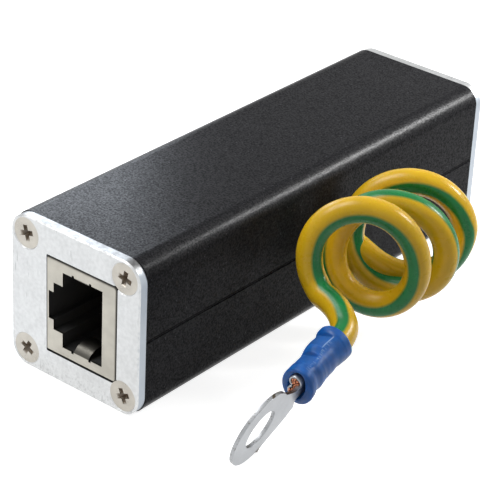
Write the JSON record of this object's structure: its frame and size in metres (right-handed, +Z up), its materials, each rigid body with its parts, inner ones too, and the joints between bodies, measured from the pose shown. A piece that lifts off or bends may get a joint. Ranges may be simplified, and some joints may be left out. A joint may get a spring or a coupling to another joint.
{
  "type": "ethernet surge protector",
  "caption": "In-line surge protector for a network cable: black metal case, silver end plates with shielded sockets, and a coiled earth wire with a ring terminal.",
  "frame": {"origin": "middle of the case's underside, end plates included", "axes": "+Y from the front plate to the rear one along the case; +Z up from the underside; +X towards the side that the earth wire leaves"},
  "size_m": [0.0463, 0.0854, 0.0282],
  "materials": {
    "circuit_board": "glossy lacquer on glass fibre",
    "clamp_diode_leads": "tinned",
    "clamp_diodes": "moulded",
    "earth_conductor_inner": "bare stranded copper",
    "earth_solder_joint": "bright solder",
    "earth_wire_coil": "smooth, yellow with a green stripe",
    "earth_wire_inner": "smooth, yellow with a green stripe",
    "earth_wire_lead": "smooth, yellow with a green stripe",
    "earth_wire_tail": "smooth, yellow with a green stripe",
    "front_end_plate": "satin, lightly scratched",
    "front_jack_carrier": "moulded",
    "front_jack_contacts": "gold plated",
    "front_jack_housing": "moulded",
    "front_jack_pins": "tinned",
    "front_jack_shield": "nickel plated, folded",
    "front_plate_screws": "nickel plated",
    "gas_tube_bodies": "smooth ceramic",
    "gas_tube_electrodes": "tinned",
    "line_resistors": "smooth",
    "lower_shell": "fine satin anodised black",
    "rear_end_plate": "satin, lightly scratched",
    "rear_jack_carrier": "moulded",
    "rear_jack_contacts": "gold plated",
    "rear_jack_housing": "moulded",
    "rear_jack_pins": "tinned",
    "rear_jack_shield": "nickel plated, folded",
    "rear_plate_screws": "nickel plated",
    "ring_terminal": "matt tin plating",
    "terminal_conductor": "bare stranded copper",
    "terminal_sleeve": "smooth, slightly translucent blue",
    "upper_shell": "fine satin anodised black"
  },
  "bodies": {
    "root": {"circuit_board": "circuit_board", "clamp_diode_leads": "clamp_diode_leads", "clamp_diodes": "clamp_diodes", "earth_conductor_inner": "earth_conductor_inner", "earth_solder_joint": "earth_solder_joint", "earth_wire_coil": "earth_wire_coil", "earth_wire_inner": "earth_wire_inner", "earth_wire_lead": "earth_wire_lead", "earth_wire_tail": "earth_wire_tail", "front_end_plate": "front_end_plate", "front_jack_carrier": "front_jack_carrier", "front_jack_contacts": "front_jack_contacts", "front_jack_housing": "front_jack_housing", "front_jack_pins": "front_jack_pins", "front_jack_shield": "front_jack_shield", "front_plate_screws": "front_plate_screws", "gas_tube_bodies": "gas_tube_bodies", "gas_tube_electrodes": "gas_tube_electrodes", "line_resistors": "line_resistors", "lower_shell": "lower_shell", "rear_end_plate": "rear_end_plate", "rear_jack_carrier": "rear_jack_carrier", "rear_jack_contacts": "rear_jack_contacts", "rear_jack_housing": "rear_jack_housing", "rear_jack_pins": "rear_jack_pins", "rear_jack_shield": "rear_jack_shield", "rear_plate_screws": "rear_plate_screws", "ring_terminal": "ring_terminal", "terminal_conductor": "terminal_conductor", "terminal_sleeve": "terminal_sleeve", "upper_shell": "upper_shell"}
  },
  "joints": []
}
